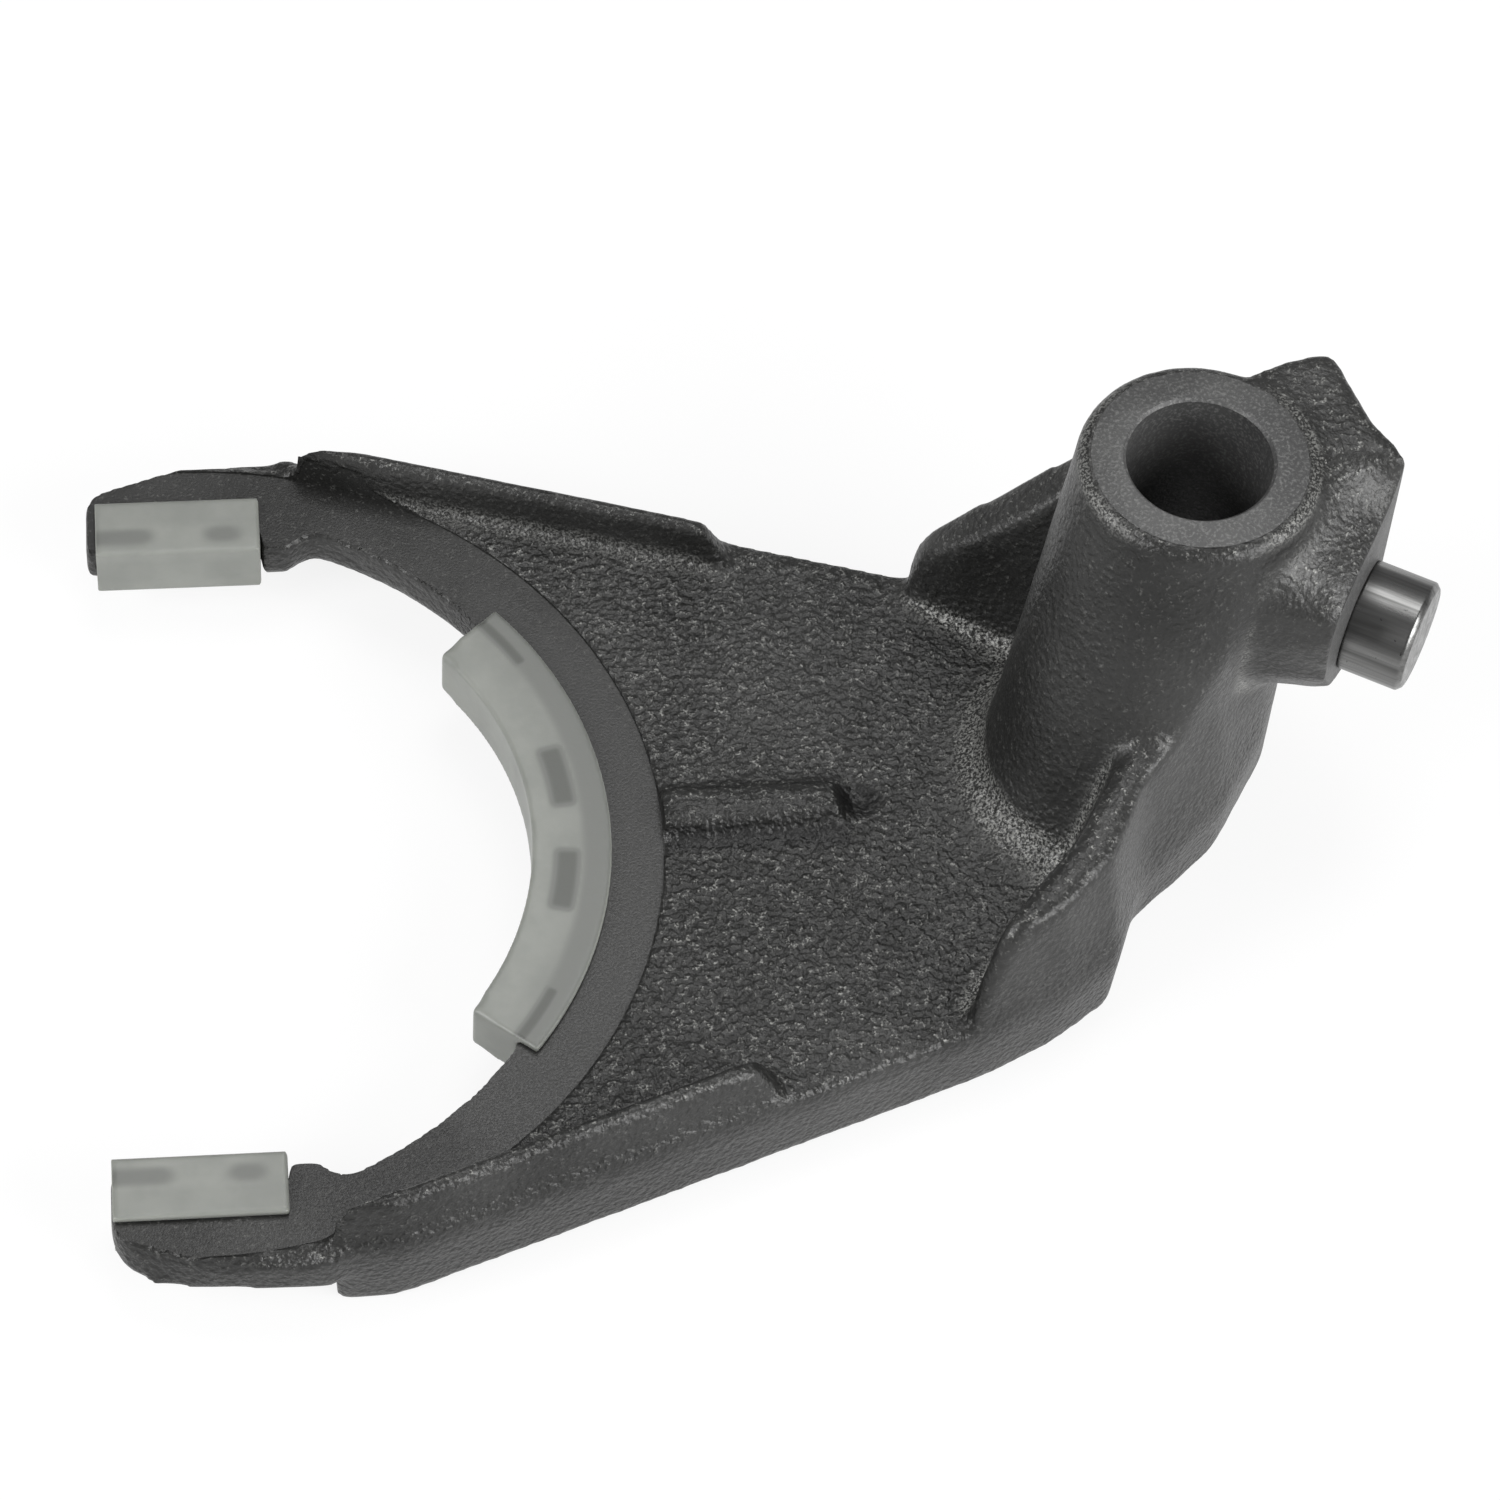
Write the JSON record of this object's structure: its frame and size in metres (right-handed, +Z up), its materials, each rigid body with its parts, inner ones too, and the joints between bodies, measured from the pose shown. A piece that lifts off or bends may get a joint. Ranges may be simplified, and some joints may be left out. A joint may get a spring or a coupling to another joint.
{
  "type": "transfer case range fork",
  "caption": "Cast iron range shift fork with a rail hub, ribbed tines, clip-on nylon wear pads and a pressed-in steel follower pin.",
  "frame": {"origin": "on the shift rail bore's axis, at the fork's base", "axes": "+Z up the bore axis, -X along the tines towards the throat's open end"},
  "size_m": [0.1489, 0.106, 0.0516],
  "materials": {
    "cast_iron": "shot-blasted dark grey casting",
    "nylon": "natural nylon, slightly translucent",
    "ground_steel": "ground bright steel"
  },
  "bodies": {
    "root": {"fork_casting": "cast_iron", "centre_pad": "nylon", "upper_tip_pad": "nylon", "lower_tip_pad": "nylon", "follower_pin": "ground_steel"}
  },
  "joints": []
}
